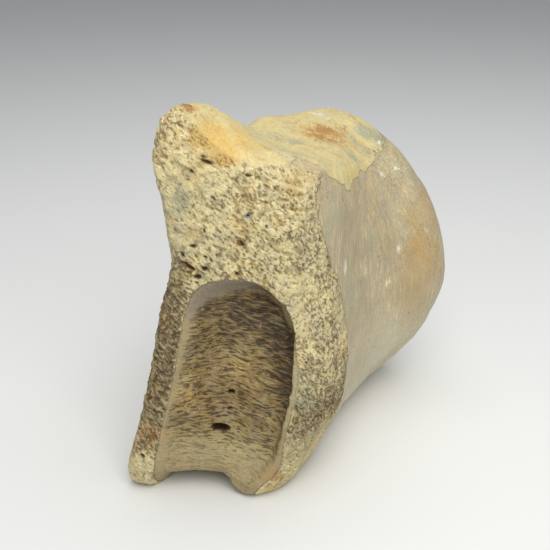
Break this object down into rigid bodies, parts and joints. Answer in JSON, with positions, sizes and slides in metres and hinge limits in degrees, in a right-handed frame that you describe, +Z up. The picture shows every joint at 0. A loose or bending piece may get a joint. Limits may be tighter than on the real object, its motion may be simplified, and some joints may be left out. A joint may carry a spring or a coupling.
{
  "type": "fossil dinosaur toe bone",
  "caption": "Life-size fossil toe bone of a large dinosaur, with a pitted front end, a worn hollow, a raised horn and an oval joint end.",
  "frame": {"origin": "middle of the bottom of the bounding box, at the level of the surface that the bone lies on", "axes": "+Z up, +Y along the bone from its broken front end to its oval joint end, +X to the right across the bone, its thinnest direction"},
  "size_m": [0.0634, 0.1034, 0.1017],
  "materials": {
    "fossil_bone": "dry mineralised bone, pitted at the ends and smooth with a fine grain on the sides"
  },
  "bodies": {
    "root": {"toe_bone": "fossil_bone"}
  },
  "joints": []
}
